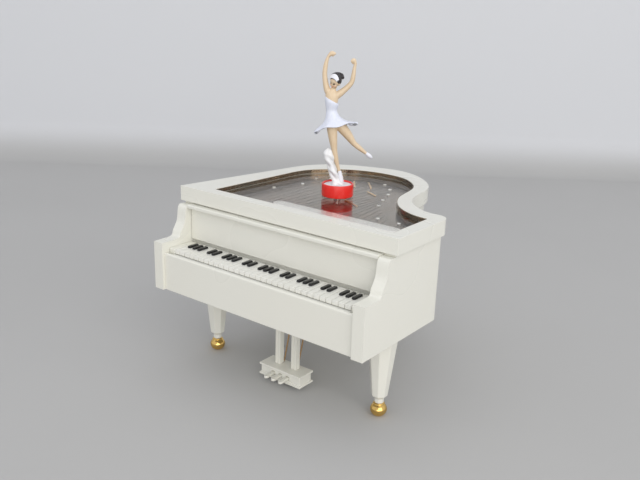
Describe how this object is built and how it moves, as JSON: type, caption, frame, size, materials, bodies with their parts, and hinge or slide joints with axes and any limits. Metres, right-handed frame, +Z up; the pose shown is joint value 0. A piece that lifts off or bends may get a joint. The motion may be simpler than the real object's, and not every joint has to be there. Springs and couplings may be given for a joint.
{
  "type": "miniature grand piano musical box",
  "caption": "White miniature grand piano musical box with a hinged key cover, gilt ball feet, a windowed lid and a small dancer that turns on a red base.",
  "frame": {"origin": "on the surface it stands on, under the middle of the object; the dancer's spindle stands on the Z axis", "axes": "+Z up, keyboard faces -Y, treble end at +X"},
  "size_m": [0.158, 0.159, 0.1939],
  "materials": {
    "ivory_plastic": "warm white moulded plastic, satin gloss",
    "white_key": "white, smooth",
    "black_key": "black, glossy",
    "clear_pane": "clear, glossy",
    "bronze_plate": "metallised taupe mirror",
    "plate_trim": "bright gilt",
    "silver_trim": "bright",
    "gilt_foot": "polished gilt",
    "brass_wire": "dull brown brass",
    "red_plastic": "red, glossy",
    "white_plastic": "white, glossy",
    "skin_paint": "painted",
    "hair_paint": "black, painted",
    "dress_paint": "white with a lilac shade",
    "shoe_paint": "white, painted",
    "band_paint": "silver white, painted",
    "cast_frame": "bare casting",
    "steel": "bare steel",
    "brass": "machined",
    "spring_steel": "blued"
  },
  "bodies": {
    "case": {"case_shell": "ivory_plastic", "bottom_plate": "ivory_plastic", "bottom_screws": "steel", "keyslip": "ivory_plastic", "key_bed": "ivory_plastic", "white_keys": "white_key", "black_keys": "black_key", "key_blocks": "ivory_plastic", "lid_frame": "ivory_plastic", "lid_pane": "clear_pane", "window_liner": "bronze_plate", "harp_plate": "bronze_plate", "harp_strings": "bronze_plate", "plate_bosses": "silver_trim", "pin_rail": "silver_trim", "plate_struts": "plate_trim", "leg_left": "ivory_plastic", "leg_right": "ivory_plastic", "leg_rear": "ivory_plastic", "foot_left": "gilt_foot", "foot_right": "gilt_foot", "foot_rear": "gilt_foot", "lyre_box": "ivory_plastic", "lyre_posts": "ivory_plastic", "pedals": "ivory_plastic", "lyre_rods": "brass_wire", "movement_frame": "cast_frame", "movement_screws": "steel", "music_comb": "steel", "comb_screws": "steel"},
    "fallboard": {"fallboard": "ivory_plastic", "fallboard_pins": "steel"},
    "turntable": {"turntable_cup": "red_plastic", "turntable_insert": "white_plastic", "output_spindle": "steel", "dancer_legs": "skin_paint", "dancer_shoes": "shoe_paint", "dancer_dress": "dress_paint", "dancer_body": "skin_paint", "dancer_hair": "hair_paint", "dancer_headband": "band_paint", "dancer_support": "white_plastic", "spring_barrel": "brass", "mainspring": "spring_steel"},
    "winder": {"winding_key": "brass", "key_arbor": "steel", "ratchet_wheel": "brass"},
    "click": {"ratchet_click": "steel"},
    "cylinder": {"music_cylinder": "brass", "cylinder_shaft": "steel", "cylinder_pinion": "brass", "cylinder_wheel": "brass"},
    "governor": {"governor_spindle": "steel", "governor_fan": "brass"}
  },
  "joints": [
    {"name": "fallboard_hinge", "type": "hinge", "parent": "case", "child": "fallboard", "pos_m": [0, -0.0549, 0.0792], "axis": [1, 0, 0], "range_deg": [0, 90]},
    {"name": "turntable_spin", "type": "hinge", "parent": "case", "child": "turntable", "pos_m": [0, 0, 0.0651], "axis": [0, 0, 1], "continuous": true},
    {"name": "winding_key_turn", "type": "hinge", "parent": "case", "child": "winder", "pos_m": [0, 0, 0.05], "axis": [0, 0, 1], "continuous": true},
    {"name": "click_pivot", "type": "hinge", "parent": "case", "child": "click", "pos_m": [0.0085, 0.006, 0.0572], "axis": [0, 0, 1], "range_deg": [0, 12]},
    {"name": "cylinder_spin", "type": "hinge", "parent": "case", "child": "cylinder", "pos_m": [-0.025, 0, 0.07662], "axis": [-1, 0, 0], "continuous": true},
    {"name": "governor_spin", "type": "hinge", "parent": "case", "child": "governor", "pos_m": [-0.042, 0, 0.06812], "axis": [-1, 0, 0], "continuous": true}
  ],
  "couplings": [
    {"joint": "cylinder_spin", "follows": "turntable_spin", "ratio": 3},
    {"joint": "governor_spin", "follows": "turntable_spin", "ratio": -15}
  ]
}
